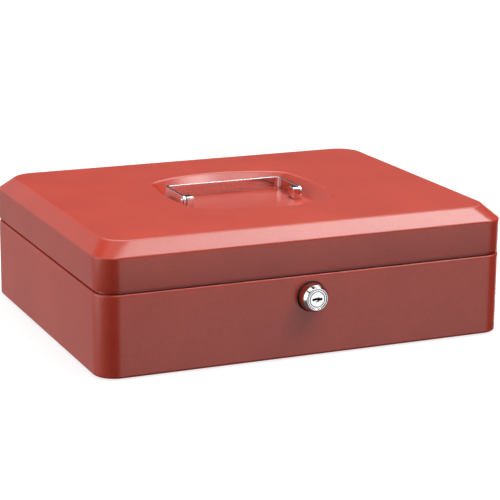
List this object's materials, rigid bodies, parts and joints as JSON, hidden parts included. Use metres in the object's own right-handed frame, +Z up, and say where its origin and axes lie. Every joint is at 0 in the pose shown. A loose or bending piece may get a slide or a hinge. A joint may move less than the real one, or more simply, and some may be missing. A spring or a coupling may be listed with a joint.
{
  "type": "cash box",
  "caption": "Portable steel cash box with a hinged chamfered lid, folding bail handle in a sunken well, front cam lock and lift-out coin tray.",
  "frame": {"origin": "centre of the object's box in plan, on the plane that the rubber feet stand on", "axes": "+X to the right along the width, the lock faces -Y, the hinges are at +Y, +Z up"},
  "size_m": [0.3, 0.2516, 0.091],
  "materials": {
    "red_paint": "fine-textured powder coat, semi-gloss",
    "chrome": "bright plated",
    "steel": "zinc plated",
    "brass": "plain",
    "black_plastic": "moulded, fine matte texture",
    "rubber": "matte"
  },
  "bodies": {
    "body": {"body_shell": "red_paint", "base_panel": "red_paint", "foot_front_left": "rubber", "foot_front_right": "rubber", "foot_rear_left": "rubber", "foot_rear_right": "rubber", "tray_rest_left": "red_paint", "tray_rest_right": "red_paint", "hinge_body_leaf_left": "red_paint", "hinge_body_leaf_right": "red_paint", "hinge_pin_left": "steel", "hinge_pin_right": "steel", "lock_housing": "chrome", "lock_gasket": "black_plastic", "lock_clip": "steel", "coin_tray": "black_plastic", "coin_divider_1": "black_plastic", "coin_divider_2": "black_plastic", "coin_divider_3": "black_plastic", "coin_divider_4": "black_plastic", "note_divider_1": "black_plastic"},
    "lid": {"lid_shell": "red_paint", "lock_catch": "steel", "hinge_lid_leaf_left": "red_paint", "hinge_lid_leaf_right": "red_paint", "handle_post_left": "chrome", "handle_post_right": "chrome", "handle_pin_left": "chrome", "handle_pin_right": "chrome", "handle_screw_left": "steel", "handle_screw_right": "steel"},
    "handle": {"bail": "chrome"},
    "lock": {"lock_plug": "chrome", "lock_wafer_1": "brass", "lock_wafer_2": "brass", "lock_wafer_3": "brass", "lock_wafer_4": "brass", "lock_cam": "steel", "cam_screw": "steel"}
  },
  "joints": [
    {"name": "lid_hinge", "type": "hinge", "parent": "body", "child": "lid", "pos_m": [0, 0.1236, 0.05855], "axis": [-1, 0, 0], "range_deg": [0, 105]},
    {"name": "handle_swing", "type": "hinge", "parent": "lid", "child": "handle", "pos_m": [0, 0.0037, 0.086], "axis": [1, 0, 0], "range_deg": [0, 180]},
    {"name": "lock_turn", "type": "hinge", "parent": "body", "child": "lock", "pos_m": [0, -0.1163, 0.0428], "axis": [0, 1, 0], "range_deg": [0, 90]}
  ]
}
